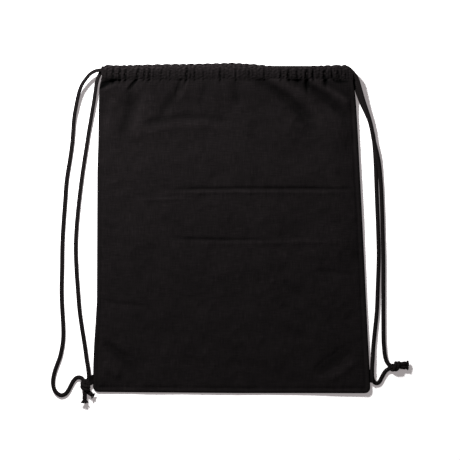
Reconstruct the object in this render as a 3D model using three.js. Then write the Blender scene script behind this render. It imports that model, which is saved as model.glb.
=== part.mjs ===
// Drawstring backpack lying flat on its back panel, in millimetres.
// X runs across the bag, +Y towards the mouth, +Z up and away from the surface it lies on.
// The origin is on that surface, in the middle of the bag's length and width.
import * as THREE from 'three';

// Bag body
const HALF_HEIGHT = 225;
const HALF_WIDTH = 190;
const CLOTH = 0.8;
const CORNER_RADIUS = 9;
const GAP = 0.3;

// Casings: the folded hems round the mouth that the cords run through
const CASING_HEIGHT = 22;
const CASING_THICKNESS = 7.2;
const CASING_WALL = 0.6;
const CASING_LEFT = -171;
const CASING_RIGHT = 153.5;
const MOUTH_RISE = 5.4;
const MOUTH_FLATNESS = 4;

// Seam allowances, folded inside the bag
const SEAM_WIDTH = 8;
const SEAM_THICKNESS = 1.2;
const SEAM_LIFT = CLOTH + GAP;
const BOTTOM_SEAM_WIDTH = 2 * (HALF_WIDTH - CORNER_RADIUS - 3);
const EDGE_LIFT = SEAM_LIFT + SEAM_THICKNESS + GAP;

// Front panel's pillow shape
const PILLOW_RISE = 9.4;
const PILLOW_RUN = 290;
const PILLOW_FLATNESS = 5;

// Drawcords
const CORD_RADIUS = 2.5;
const CORD_SIDES = 8;
const CORD_STEP = 12.5;
const UPPER_LANE = 218.6;
const LOWER_LANE = 210.6;
const BIGHT_REACH = 4.6;
const BIGHT_GAP = 0.6;

// Corner tabs that the cords pass through
const TAB_WIDTH = 15;
const TAB_BOTTOM = -209.5;
const TAB_TOP = TAB_BOTTOM + TAB_WIDTH;
const TAB_HOLE_X = 195.8;
const TAB_HOLE_Z = 3.6;
const TAB_HOLE_RADIUS = 2.8;
const TAB_WALL = 0.6;
const TAB_ROOT_X = 184;

const STITCH_Y = HALF_HEIGHT - CASING_HEIGHT;
const PANEL_TOP = STITCH_Y - GAP;
const CASING_MID_Y = STITCH_Y + CASING_HEIGHT / 2;
const BACK_CASING_Z = CASING_THICKNESS / 2;
const CASING_MID_X = (CASING_LEFT + CASING_RIGHT) / 2;
const CASING_HALF = (CASING_RIGHT - CASING_LEFT) / 2;

const matte = (color, roughness) => new THREE.MeshStandardMaterial({ color, roughness, metalness: 0 });
const clothMaterial = () => matte(0x1d1b1c, 0.95);
const cordMaterial = () => matte(0x221c1b, 0.9);

const bag = new THREE.Group();

function addMesh(name, geometry, material) {
  const mesh = new THREE.Mesh(geometry, material);
  mesh.name = name;
  bag.add(mesh);
  return mesh;
}

// Side outlines of the bag, from the bottom hem to the casing
const leftEdge = new THREE.SplineCurve([
  new THREE.Vector2(-HALF_HEIGHT, -HALF_WIDTH),
  new THREE.Vector2(-165, -189),
  new THREE.Vector2(-110, -186.5),
  new THREE.Vector2(-40, -184.5),
  new THREE.Vector2(60, -183.5),
  new THREE.Vector2(150, -182),
  new THREE.Vector2(203, -181),
]);
const rightEdge = new THREE.SplineCurve([
  new THREE.Vector2(-HALF_HEIGHT, HALF_WIDTH),
  new THREE.Vector2(-165, 188.5),
  new THREE.Vector2(-60, 183.5),
  new THREE.Vector2(20, 178.5),
  new THREE.Vector2(90, 173.8),
  new THREE.Vector2(150, 170.5),
  new THREE.Vector2(203, 168.5),
]);

// The outline's X at a height Y, found by halving along the curve
function edgeAt(curve, y) {
  let low = 0;
  let high = 1;
  for (let i = 0; i < 24; i++) {
    const middle = (low + high) / 2;
    if (curve.getPoint(middle).x < y) low = middle;
    else high = middle;
  }
  return curve.getPoint(low).y;
}

// How far the rounded bottom corners pull the outline in at a height Y
function cornerInset(y) {
  const below = CORNER_RADIUS - (y + HALF_HEIGHT);
  if (below <= 0) return 0;
  return CORNER_RADIUS - Math.sqrt(Math.max(0, CORNER_RADIUS ** 2 - below ** 2));
}

const smooth = (t) => THREE.MathUtils.smoothstep(t, 0, 1);

// Height of the front casing's underside above the back casing's plane
function mouthArch(x) {
  const s = Math.min(1, Math.abs(x - CASING_MID_X) / CASING_HALF);
  return CASING_THICKNESS + GAP * 2 + MOUTH_RISE * (1 - s ** MOUTH_FLATNESS);
}

// Underside of the front panel
function frontUnderside(x, y) {
  const left = edgeAt(leftEdge, y);
  const right = edgeAt(rightEdge, y);
  const s = Math.min(1, Math.abs((2 * x - left - right) / (right - left)));
  const rise = PILLOW_RISE * smooth((y + HALF_HEIGHT) / PILLOW_RUN);
  return EDGE_LIFT + rise * (1 - s ** PILLOW_FLATNESS);
}

// A closed sheet over the bag's outline: rows of points along Y, each spread across X
function sheetGeometry(rows, columns, underside, thickness) {
  const positions = [];
  const indices = [];
  const across = columns.length;
  for (const layer of [0, thickness]) {
    for (const y of rows) {
      const left = edgeAt(leftEdge, y) + cornerInset(y);
      const right = edgeAt(rightEdge, y) - cornerInset(y);
      for (const share of columns) {
        const x = THREE.MathUtils.lerp(left, right, share);
        positions.push(x, y, underside(x, y) + layer);
      }
    }
  }
  const top = rows.length * across;
  const at = (layer, row, column) => layer * top + row * across + column;
  const quad = (a, b, c, d) => indices.push(a, b, c, a, c, d);
  for (let row = 0; row + 1 < rows.length; row++) {
    for (let column = 0; column + 1 < across; column++) {
      quad(at(1, row, column), at(1, row, column + 1), at(1, row + 1, column + 1), at(1, row + 1, column));
      quad(at(0, row, column), at(0, row + 1, column), at(0, row + 1, column + 1), at(0, row, column + 1));
    }
    const last = across - 1;
    quad(at(0, row, 0), at(1, row, 0), at(1, row + 1, 0), at(0, row + 1, 0));
    quad(at(0, row, last), at(0, row + 1, last), at(1, row + 1, last), at(1, row, last));
  }
  for (let column = 0; column + 1 < across; column++) {
    const end = rows.length - 1;
    quad(at(0, 0, column), at(0, 0, column + 1), at(1, 0, column + 1), at(1, 0, column));
    quad(at(0, end, column), at(1, end, column), at(1, end, column + 1), at(0, end, column + 1));
  }
  const geometry = new THREE.BufferGeometry();
  geometry.setAttribute('position', new THREE.Float32BufferAttribute(positions, 3));
  geometry.setIndex(indices);
  return geometry;
}

// Rows along the bag: close together round the bottom corners, even above them
function panelRows(count) {
  const rows = [0, 0.1, 0.3, 0.6, 1].map((share) => CORNER_RADIUS * share - HALF_HEIGHT);
  const start = CORNER_RADIUS - HALF_HEIGHT;
  for (let i = 1; i <= count; i++) rows.push(THREE.MathUtils.lerp(start, PANEL_TOP, i / count));
  return rows;
}

// Columns across the bag, closer together near the side seams
function panelColumns(count) {
  const columns = [];
  for (let i = 0; i <= count; i++) columns.push((1 - Math.cos((Math.PI * i) / count)) / 2);
  return columns;
}

const backSheet = sheetGeometry(panelRows(10), [0, 1], () => 0, CLOTH);
const frontSheet = sheetGeometry(panelRows(18), panelColumns(16), frontUnderside, CLOTH);
addMesh('back_panel', backSheet, clothMaterial());
addMesh('front_panel', frontSheet, clothMaterial());

// A casing's section: a flattened ring, with its length along local Y and its thickness along local Z
function casingRing(height, thickness) {
  const points = [];
  const radius = thickness / 2;
  const straight = height / 2 - radius;
  const arcSteps = 4;
  for (let i = 0; i <= arcSteps; i++) {
    const angle = Math.PI * (i / arcSteps) - Math.PI / 2;
    points.push([straight + radius * Math.cos(angle), radius * Math.sin(angle)]);
  }
  for (let i = 0; i <= arcSteps; i++) {
    const angle = Math.PI * (i / arcSteps) + Math.PI / 2;
    points.push([-straight + radius * Math.cos(angle), radius * Math.sin(angle)]);
  }
  return points;
}

// A tunnel along X, open at both ends, whose middle height is lift(x)
function casingGeometry(lift, steps) {
  const outer = casingRing(CASING_HEIGHT, CASING_THICKNESS);
  const inner = casingRing(CASING_HEIGHT - 2 * CASING_WALL, CASING_THICKNESS - 2 * CASING_WALL);
  const count = outer.length;
  const positions = [];
  const indices = [];
  for (const ring of [outer, inner]) {
    for (let step = 0; step <= steps; step++) {
      const x = THREE.MathUtils.lerp(CASING_LEFT, CASING_RIGHT, step / steps);
      for (const [y, z] of ring) positions.push(x, CASING_MID_Y + y, lift(x) + z);
    }
  }
  const shell = (steps + 1) * count;
  const at = (layer, step, point) => layer * shell + step * count + (point % count);
  const quad = (a, b, c, d) => indices.push(a, b, c, a, c, d);
  for (let point = 0; point < count; point++) {
    for (let step = 0; step < steps; step++) {
      quad(at(0, step, point), at(0, step, point + 1), at(0, step + 1, point + 1), at(0, step + 1, point));
      quad(at(1, step, point), at(1, step + 1, point), at(1, step + 1, point + 1), at(1, step, point + 1));
    }
    quad(at(0, 0, point), at(1, 0, point), at(1, 0, point + 1), at(0, 0, point + 1));
    quad(at(0, steps, point), at(0, steps, point + 1), at(1, steps, point + 1), at(1, steps, point));
  }
  const geometry = new THREE.BufferGeometry();
  geometry.setAttribute('position', new THREE.Float32BufferAttribute(positions, 3));
  geometry.setIndex(indices);
  return geometry;
}

const backLift = () => BACK_CASING_Z;
const frontLift = (x) => mouthArch(x) + CASING_THICKNESS / 2;
addMesh('back_casing', casingGeometry(backLift, 1), clothMaterial());
addMesh('front_casing', casingGeometry(frontLift, 20), clothMaterial());

// Seam allowances: flat strips between the two panels, along the sides and the bottom
function sideSeam(curve, inward) {
  const count = 10;
  const shape = new THREE.Shape();
  const bottom = TAB_TOP + GAP * 2;
  const top = PANEL_TOP - SEAM_WIDTH / 2;
  const edge = [];
  for (let i = 0; i <= count; i++) {
    const y = THREE.MathUtils.lerp(bottom, top, i / count);
    edge.push([edgeAt(curve, y) + inward * GAP, y]);
  }
  edge.forEach(([x, y], i) => (i ? shape.lineTo(x, y) : shape.moveTo(x, y)));
  edge.reverse().forEach(([x, y]) => shape.lineTo(x + inward * SEAM_WIDTH, y));
  return new THREE.ExtrudeGeometry(shape, { depth: SEAM_THICKNESS, bevelEnabled: false });
}

addMesh('left_seam', sideSeam(leftEdge, 1), clothMaterial()).position.z = SEAM_LIFT;
addMesh('right_seam', sideSeam(rightEdge, -1), clothMaterial()).position.z = SEAM_LIFT;

const bottomSeam = new THREE.BoxGeometry(BOTTOM_SEAM_WIDTH, SEAM_WIDTH, SEAM_THICKNESS);
const bottomSeamMesh = addMesh('bottom_seam', bottomSeam, clothMaterial());
bottomSeamMesh.position.set(0, GAP - HALF_HEIGHT + SEAM_WIDTH / 2, SEAM_LIFT + SEAM_THICKNESS / 2);

// A tab: a ribbon folded round the cord, its two ends sewn into the side seam
function tabGeometry(side) {
  const outer = TAB_HOLE_RADIUS + TAB_WALL;
  const tongueTop = SEAM_LIFT + SEAM_THICKNESS - TAB_HOLE_Z;
  const tongueBottom = SEAM_LIFT - TAB_HOLE_Z;
  const reach = TAB_HOLE_X - TAB_ROOT_X;
  const upper = Math.PI - Math.asin(tongueTop / outer);
  const lower = Math.PI - Math.asin(tongueBottom / outer);
  const shape = new THREE.Shape();
  const steps = 16;
  shape.moveTo(-reach, tongueBottom);
  for (let i = 0; i <= steps; i++) {
    const angle = THREE.MathUtils.lerp(lower, upper + 2 * Math.PI, i / steps);
    shape.lineTo(outer * Math.cos(angle), outer * Math.sin(angle));
  }
  shape.lineTo(-reach, tongueTop);
  const hole = new THREE.Path();
  hole.absarc(0, 0, TAB_HOLE_RADIUS, 0, 2 * Math.PI, true);
  shape.holes.push(hole);
  const options = { depth: TAB_WIDTH, bevelEnabled: false, curveSegments: 8 };
  const geometry = new THREE.ExtrudeGeometry(shape, options);
  geometry.rotateX(Math.PI / 2);
  if (side < 0) geometry.rotateZ(Math.PI);
  return geometry;
}

for (const [name, side] of [['left_tab', -1], ['right_tab', 1]]) {
  const tab = addMesh(name, tabGeometry(side), clothMaterial());
  tab.position.set(side * TAB_HOLE_X, side < 0 ? TAB_BOTTOM : TAB_TOP, TAB_HOLE_Z);
}

// A round cord along a route of points
function cordGeometry(points, steps) {
  const route = new THREE.CatmullRomCurve3(points.map((p) => new THREE.Vector3(...p)), false, 'centripetal');
  const section = new THREE.Shape();
  for (let i = 0; i < CORD_SIDES; i++) {
    const angle = (2 * Math.PI * i) / CORD_SIDES;
    const x = CORD_RADIUS * Math.cos(angle);
    const y = CORD_RADIUS * Math.sin(angle);
    if (i) section.lineTo(x, y);
    else section.moveTo(x, y);
  }
  const stepCount = steps || Math.max(3, Math.round(route.getLength() / CORD_STEP));
  return new THREE.ExtrudeGeometry(section, { steps: stepCount, extrudePath: route, bevelEnabled: false });
}

const addCord = (name, points, steps) => addMesh(name, cordGeometry(points, steps), cordMaterial());

// The stretches inside the casings. The left cord enters at the left, turns back at the right, and comes
// out at the left again; the right cord does the same the other way round, in the lane beside it.
const EXIT_LEFT = CASING_LEFT - BIGHT_REACH - CORD_RADIUS;
const EXIT_RIGHT = CASING_RIGHT + BIGHT_REACH + CORD_RADIUS;

function frontRun(from, to, y) {
  const points = [];
  const count = 20;
  for (let i = 0; i <= count; i++) {
    const x = THREE.MathUtils.lerp(from, to, i / count);
    points.push([x, y, frontLift(x)]);
  }
  return points;
}

addCord('left_cord_front_run', frontRun(EXIT_LEFT, CASING_RIGHT, UPPER_LANE), 20);
addCord('right_cord_front_run', frontRun(CASING_LEFT, EXIT_RIGHT, LOWER_LANE), 20);
const backRun = (from, to, y) => [from, (from + to) / 2, to].map((x) => [x, y, BACK_CASING_Z]);
addCord('left_cord_back_run', backRun(EXIT_LEFT, CASING_RIGHT, LOWER_LANE), 4);
addCord('right_cord_back_run', backRun(CASING_LEFT, EXIT_RIGHT, UPPER_LANE), 4);

// A bight: the cord's half turn from the front casing to the back one, round the bag's corner
function bight(x, outward, frontY, backY) {
  const points = [];
  const count = 8;
  const frontZ = frontLift(x);
  for (let i = 0; i <= count; i++) {
    const angle = (Math.PI * i) / count;
    const share = (1 - Math.cos(angle)) / 2;
    points.push([
      x + outward * (BIGHT_GAP + BIGHT_REACH * Math.sin(angle)),
      THREE.MathUtils.lerp(frontY, backY, share),
      THREE.MathUtils.lerp(frontZ, BACK_CASING_Z, share),
    ]);
  }
  return points;
}

addCord('left_cord_bight', bight(CASING_RIGHT, 1, UPPER_LANE, LOWER_LANE), 8);
addCord('right_cord_bight', bight(CASING_LEFT, -1, LOWER_LANE, UPPER_LANE), 8);

// The free strands, lying beside the bag from the casing's ends to the corner tabs
const FRONT_EXIT_Z = frontLift(EXIT_LEFT);
const REST_Z = CORD_RADIUS + 0.1;

addCord('left_outer_strand', [
  [EXIT_LEFT - GAP, UPPER_LANE, FRONT_EXIT_Z],
  [EXIT_LEFT - 3, UPPER_LANE, FRONT_EXIT_Z],
  [-187.5, 216.4, 10.6],
  [-193.8, 212.2, 10.6],
  [-199, 206.2, 10.4],
  [-203.5, 199.5, 10],
  [-207, 192.5, 9.4],
  [-209.5, 185.5, 8.6],
  [-211.5, 176, 7.4],
  [-213.5, 165, 6],
  [-216.5, 145, 3.8],
  [-219, 118, 2.8],
  [-222.5, 92, REST_Z],
  [-226.5, 60, REST_Z],
  [-229.3, 28, REST_Z],
  [-231.5, 0, REST_Z],
  [-233.2, -32, REST_Z],
  [-234.2, -70, REST_Z],
  [-233, -112, REST_Z],
  [-231.5, -142, REST_Z],
  [-231.6, -156, REST_Z],
]);
addCord('left_inner_strand', [
  [EXIT_LEFT - GAP, LOWER_LANE, BACK_CASING_Z],
  [EXIT_LEFT - 2.2, LOWER_LANE, BACK_CASING_Z],
  [-182.6, 207.6, 3.4],
  [-184.8, 202.4, 3.6],
  [-186.2, 195.5, 3.8],
  [-187.8, 186, 3.8],
  [-189.2, 176, 3.6],
  [-191.8, 161, 3.2],
  [-195.8, 135, 2.8],
  [-200.2, 107, REST_Z],
  [-204.3, 80, REST_Z],
  [-208.4, 52, REST_Z],
  [-211.5, 24, REST_Z],
  [-213.3, -2, REST_Z],
  [-213.7, -30, REST_Z],
  [-212.3, -65, REST_Z],
  [-209.7, -98, REST_Z],
  [-206.7, -127, REST_Z],
  [-202.8, -153, REST_Z],
  [-199.6, -170, 2.8],
  [-197.2, -182, 3.3],
  [-TAB_HOLE_X, -189.5, TAB_HOLE_Z],
  [-TAB_HOLE_X, -193, TAB_HOLE_Z],
]);
addCord('right_outer_strand', [
  [EXIT_RIGHT + GAP, LOWER_LANE, FRONT_EXIT_Z],
  [EXIT_RIGHT + 3, LOWER_LANE, FRONT_EXIT_Z],
  [168.2, 209.4, 10.6],
  [172, 206, 10.8],
  [175.2, 200.8, 10.8],
  [177.8, 194, 10.6],
  [179.8, 186, 10.2],
  [182.2, 176, 9.6],
  [185.4, 164.5, 9],
  [189.8, 149, 8.6],
  [194.2, 133, 8.2],
  [198.2, 118, 7],
  [201.6, 103, 4.8],
  [204, 88, 3.2],
  [205.6, 60, REST_Z],
  [206.6, 28, REST_Z],
  [207.6, -5, REST_Z],
  [208.7, -42, REST_Z],
  [209.3, -80, REST_Z],
  [209.2, -125, REST_Z],
  [210, -156, REST_Z],
]);
addCord('right_inner_strand', [
  [EXIT_RIGHT + GAP, UPPER_LANE, BACK_CASING_Z],
  [EXIT_RIGHT + 2.8, UPPER_LANE, BACK_CASING_Z],
  [167, 216, 3.3],
  [170, 211, 3.3],
  [171.5, 203.6, 3.3],
  [172.3, 196, 3.3],
  [174.2, 186, 3.2],
  [177.2, 175, 3],
  [181.5, 161, 2.8],
  [187, 144, REST_Z],
  [192, 127, REST_Z],
  [195.6, 112, REST_Z],
  [198, 97, REST_Z],
  [199.4, 78, REST_Z],
  [200.4, 55, REST_Z],
  [201.2, 24, REST_Z],
  [202, -6, REST_Z],
  [202.4, -40, REST_Z],
  [201.4, -80, REST_Z],
  [200, -115, REST_Z],
  [197.4, -143, REST_Z],
  [195.4, -164, 2.8],
  [195.4, -180, 3.3],
  [TAB_HOLE_X, -189.5, TAB_HOLE_Z],
  [TAB_HOLE_X, -193, TAB_HOLE_Z],
]);

// The ends of the cords, below the split in each strand: they move with the knots
addCord('left_lower_loop', [
  [-231.6, -156.3, REST_Z],
  [-232.6, -166, REST_Z],
  [-235.6, -176.8, REST_Z],
  [-239.3, -186.8, REST_Z],
  [-242.7, -196, REST_Z],
  [-244.9, -205, REST_Z],
  [-245.3, -213.5, REST_Z],
  [-243.7, -221.2, REST_Z],
  [-239.8, -227, REST_Z],
  [-233.9, -230, REST_Z],
  [-228.2, -228, REST_Z],
  [-224, -222.8, REST_Z],
  [-220.4, -215.8, REST_Z],
  [-216.7, -209.4, REST_Z],
  [-212.6, -205.8, 3],
  [-207.9, -205.4, 4],
  [-204.2, -208, 5],
], 18);
addCord('left_tab_cord', [
  [-TAB_HOLE_X, -193.5, TAB_HOLE_Z],
  [-TAB_HOLE_X, -202, TAB_HOLE_Z],
  [-TAB_HOLE_X, -210.6, TAB_HOLE_Z],
], 3);
addCord('right_lower_strand', [
  [210, -156.3, REST_Z],
  [210.4, -167, REST_Z],
  [211.2, -176, REST_Z],
  [213, -183, 3.2],
  [215.8, -187.4, 4.2],
]);
addCord('right_tab_cord', [
  [TAB_HOLE_X, -193.5, TAB_HOLE_Z],
  [TAB_HOLE_X, -200, TAB_HOLE_Z],
  [TAB_HOLE_X, -206, TAB_HOLE_Z],
  [TAB_HOLE_X, -210.3, TAB_HOLE_Z],
  [197.6, -214.2, 3.1],
  [200.8, -214.8, REST_Z],
  [203.6, -211.8, REST_Z],
  [206.3, -206.4, REST_Z],
  [209.3, -200.6, REST_Z],
  [212.6, -196.4, 3],
  [216.2, -194, 3.8],
], 12);

// Knots: both ends of a cord tied together in one overhand knot
function addKnot(name, size, centre) {
  const knot = addMesh(name, new THREE.SphereGeometry(0.5, 14, 10), cordMaterial());
  knot.geometry.rotateX(Math.PI / 2);
  knot.scale.set(...size);
  knot.position.set(...centre);
}

addKnot('left_knot', [14.5, 14.4, 11], [-199.2, -218.6, 5.8]);
addKnot('right_knot', [14.4, 13.4, 11], [224.9, -190.6, 5.8]);

// Tails: the cut cord ends beyond each knot, flared where the braid has opened
const TAIL_FLATTENING = 0.66;
const BRAID_SHARE = 0.55;
const SPREAD_SHARE = 0.85;

function addTail(name, start, end, radius, flare) {
  const from = new THREE.Vector3(...start);
  const along = new THREE.Vector3(...end).sub(from);
  const length = along.length();
  const profile = [
    [0, 0],
    [radius, 0],
    [radius, length * BRAID_SHARE],
    [flare * 0.9, length * SPREAD_SHARE],
    [flare, length],
    [0, length],
  ].map(([r, y]) => new THREE.Vector2(r, y));
  const geometry = new THREE.LatheGeometry(profile, 10);
  geometry.scale(1, 1, TAIL_FLATTENING);
  const tail = addMesh(name, geometry, cordMaterial());
  const forward = along.normalize();
  const upward = new THREE.Vector3(0, 0, 1).addScaledVector(forward, -forward.z).normalize();
  const across = new THREE.Vector3().crossVectors(forward, upward);
  tail.quaternion.setFromRotationMatrix(new THREE.Matrix4().makeBasis(across, forward, upward));
  tail.position.copy(from);
}

addTail('left_tail_a', [-200.6, -226.4, 3.4], [-201.4, -241, 3.4], 2.5, 4.6);
addTail('left_tail_b', [-195, -226.2, 3.4], [-188.6, -230.6, 3.4], 2.3, 4);
addTail('right_tail_a', [232.6, -188.2, 5], [243.6, -186.2, 4.2], 2.2, 2.9);
addTail('right_tail_b', [232.4, -192.8, 5], [243, -193, 4.2], 2.1, 2.7);

export default bag;
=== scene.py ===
"""Looks of a black cotton drawstring backpack lying flat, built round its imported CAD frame.
Blender's objects are in metres. Shapes here are worked out in millimetres and multiplied by MM."""
import math

import bpy
import numpy as np
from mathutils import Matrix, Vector


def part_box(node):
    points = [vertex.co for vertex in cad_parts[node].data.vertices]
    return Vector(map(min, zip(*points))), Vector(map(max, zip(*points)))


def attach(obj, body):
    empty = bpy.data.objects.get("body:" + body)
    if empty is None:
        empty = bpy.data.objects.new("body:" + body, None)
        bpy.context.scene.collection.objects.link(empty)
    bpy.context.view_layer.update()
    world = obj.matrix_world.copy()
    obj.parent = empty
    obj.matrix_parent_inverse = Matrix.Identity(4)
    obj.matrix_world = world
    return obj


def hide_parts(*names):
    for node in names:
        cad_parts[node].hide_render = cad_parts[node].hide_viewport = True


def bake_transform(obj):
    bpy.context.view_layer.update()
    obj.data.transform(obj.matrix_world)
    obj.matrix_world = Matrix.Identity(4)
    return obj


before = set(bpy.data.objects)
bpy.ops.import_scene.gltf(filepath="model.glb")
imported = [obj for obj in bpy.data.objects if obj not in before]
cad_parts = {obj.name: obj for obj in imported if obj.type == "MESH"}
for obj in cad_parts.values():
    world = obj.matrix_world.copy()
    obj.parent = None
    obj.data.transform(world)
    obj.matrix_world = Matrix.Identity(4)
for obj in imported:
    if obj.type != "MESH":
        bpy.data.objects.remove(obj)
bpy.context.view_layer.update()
MM = 0.001
RANDOM = np.random.default_rng(7)

# The bag's main sizes, in millimetres, from the frame
FRONT_LOW = np.array(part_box("front_panel")[0]) / MM
CASING_LOW, CASING_HIGH = (np.array(corner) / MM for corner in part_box("front_casing"))
BACK_CASING_LOW, BACK_CASING_HIGH = (np.array(corner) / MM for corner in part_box("back_casing"))
BOTTOM_Y = FRONT_LOW[1]
STITCH_Y = CASING_LOW[1]
TOP_Y = CASING_HIGH[1]
CAD_CLOTH = 0.8
EDGE_Z = FRONT_LOW[2] + CAD_CLOTH
CASING_DEPTH = BACK_CASING_HIGH[2] - BACK_CASING_LOW[2]
CASING_MID_X = (CASING_LOW[0] + CASING_HIGH[0]) / 2
CASING_HALF = (CASING_HIGH[0] - CASING_LOW[0]) / 2
CASING_END_Z = CASING_LOW[2] + CASING_DEPTH / 2
CASING_RISE = CASING_HIGH[2] - CASING_LOW[2] - CASING_DEPTH

# Sizes of the cloth and of the cords, which lie as slightly flat braids, in millimetres
CLOTH = 0.5
CORNER_RADIUS = 7.5
CORD_HALF_WIDTH = 2.95
CORD_HALF_THICKNESS = 1.85


# ---------------------------------------------------------------- camera, floor and lights

# Camera: its height, the width of floor that it sees, and the point that it looks down on, in metres
CAMERA_HEIGHT = 2.5
VIEW_WIDTH = 0.6325
VIEW_CENTRE = (-0.0021, -0.0028)
# Key light: place and diameter in metres, and power in watts
KEY_PLACE = (-0.42, 0.68, 0.73)
KEY_SIZE = 0.19
KEY_POWER = 35
# The even fill from all round, and the floor, which glows enough to stay white under the soft light
FILL_COLOR = (1, 0.985, 0.97, 1)
FILL_STRENGTH = 0.06
FLOOR_SIZE = 8
FLOOR_Z = -0.0002
FLOOR_COLOR = (0.84, 0.84, 0.84, 1)
FLOOR_GLOW_COLOR = (1, 0.91, 0.92, 1)
FLOOR_GLOW = 0.29


def add_camera():
    """Straight above the bag, with a long lens and the mouth at the top of the frame."""
    camera = bpy.data.cameras.new("camera")
    camera.sensor_width = 36
    camera.lens = camera.sensor_width * CAMERA_HEIGHT / VIEW_WIDTH
    camera.clip_end = 20
    holder = bpy.data.objects.new("camera", camera)
    holder.location = (*VIEW_CENTRE, CAMERA_HEIGHT)
    bpy.context.collection.objects.link(holder)
    bpy.context.scene.camera = holder


def add_key_light():
    """A round light beyond the bag's left shoulder, turned to the bag's middle."""
    light = bpy.data.lights.new("key", "AREA")
    light.shape = "DISK"
    light.size = KEY_SIZE
    light.energy = KEY_POWER
    holder = bpy.data.objects.new("key", light)
    holder.location = KEY_PLACE
    holder.rotation_euler = (-Vector(KEY_PLACE)).to_track_quat("-Z", "Y").to_euler()
    bpy.context.collection.objects.link(holder)


def set_inputs(node, values):
    for name, value in values.items():
        node.inputs[name].default_value = value


def add_studio():
    """A pale floor, one soft key light and an even white fill."""
    scene = bpy.context.scene
    scene.view_settings.view_transform = "Standard"
    world = bpy.data.worlds.new("studio")
    world.use_nodes = True
    set_inputs(world.node_tree.nodes["Background"], {"Color": FILL_COLOR, "Strength": FILL_STRENGTH})
    scene.world = world
    add_key_light()

    bpy.ops.mesh.primitive_plane_add(size=FLOOR_SIZE, location=(0, 0, FLOOR_Z))
    floor = bpy.context.object
    floor.name = "floor"
    material = bpy.data.materials.new("floor")
    material.use_nodes = True
    set_inputs(material.node_tree.nodes["Principled BSDF"], {
        "Base Color": FLOOR_COLOR, "Roughness": 0.9, "Specular IOR Level": 0.1,
        "Emission Color": FLOOR_GLOW_COLOR, "Emission Strength": FLOOR_GLOW,
    })
    floor.data.materials.append(material)


# ---------------------------------------------------------------- materials

class Nodes:
    """Short calls for building a material's node tree."""

    def __init__(self, name):
        self.material = bpy.data.materials.new(name)
        self.material.use_nodes = True
        self.tree = self.material.node_tree
        self.shader = self.tree.nodes["Principled BSDF"]

    def link(self, value, socket):
        if isinstance(value, bpy.types.NodeSocket):
            self.tree.links.new(value, socket)
        else:
            socket.default_value = value

    def math(self, operation, *values):
        node = self.tree.nodes.new("ShaderNodeMath")
        node.operation = operation
        for value, socket in zip(values, node.inputs):
            self.link(value, socket)
        return node.outputs[0]

    def total(self, start, *terms):
        """start plus each value times its weight."""
        for value, weight in terms:
            start = self.math("MULTIPLY_ADD", value, weight, start)
        return start

    def uv(self, scale_x, scale_y):
        coordinates = self.tree.nodes.new("ShaderNodeUVMap")
        coordinates.uv_map = "cloth"
        mapping = self.tree.nodes.new("ShaderNodeMapping")
        mapping.inputs["Scale"].default_value = (scale_x, scale_y, 1)
        self.tree.links.new(coordinates.outputs[0], mapping.inputs[0])
        return mapping.outputs[0]

    def split(self, vector):
        node = self.tree.nodes.new("ShaderNodeSeparateXYZ")
        self.tree.links.new(vector, node.inputs[0])
        return node.outputs[0], node.outputs[1]

    def noise(self, vector, scale, detail=2.0, roughness=0.5):
        node = self.tree.nodes.new("ShaderNodeTexNoise")
        set_inputs(node, {"Scale": scale, "Detail": detail, "Roughness": roughness})
        self.tree.links.new(vector, node.inputs["Vector"])
        return node.outputs[0]

    def ramp(self, value, stops):
        node = self.tree.nodes.new("ShaderNodeValToRGB")
        while len(node.color_ramp.elements) < len(stops):
            node.color_ramp.elements.new(0.5)
        for element, (place, color) in zip(node.color_ramp.elements, stops):
            element.position = place
            element.color = (*color, 1)
        self.tree.links.new(value, node.inputs[0])
        return node.outputs[0]

    def bump(self, height, strength, distance, before=None):
        node = self.tree.nodes.new("ShaderNodeBump")
        set_inputs(node, {"Strength": strength, "Distance": distance})
        self.tree.links.new(height, node.inputs["Height"])
        if before is not None:
            self.tree.links.new(before, node.inputs["Normal"])
        return node.outputs[0]


# Cotton cloth: threads and slubs for each metre, and the two sizes of mottling
THREADS = 1500
SLUBS_ALONG, SLUBS_ACROSS = 60, 900
MOTTLE_SCALE, BROAD_MOTTLE_SCALE = 55, 11
# Cotton cord: yarns round the braid, the length of one diamond in metres, and its fibres for each metre
BRAID_YARNS = 4
BRAID_PITCH = 0.0052
FIBRES_AROUND, FIBRES_ALONG = 40, 2600


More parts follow.
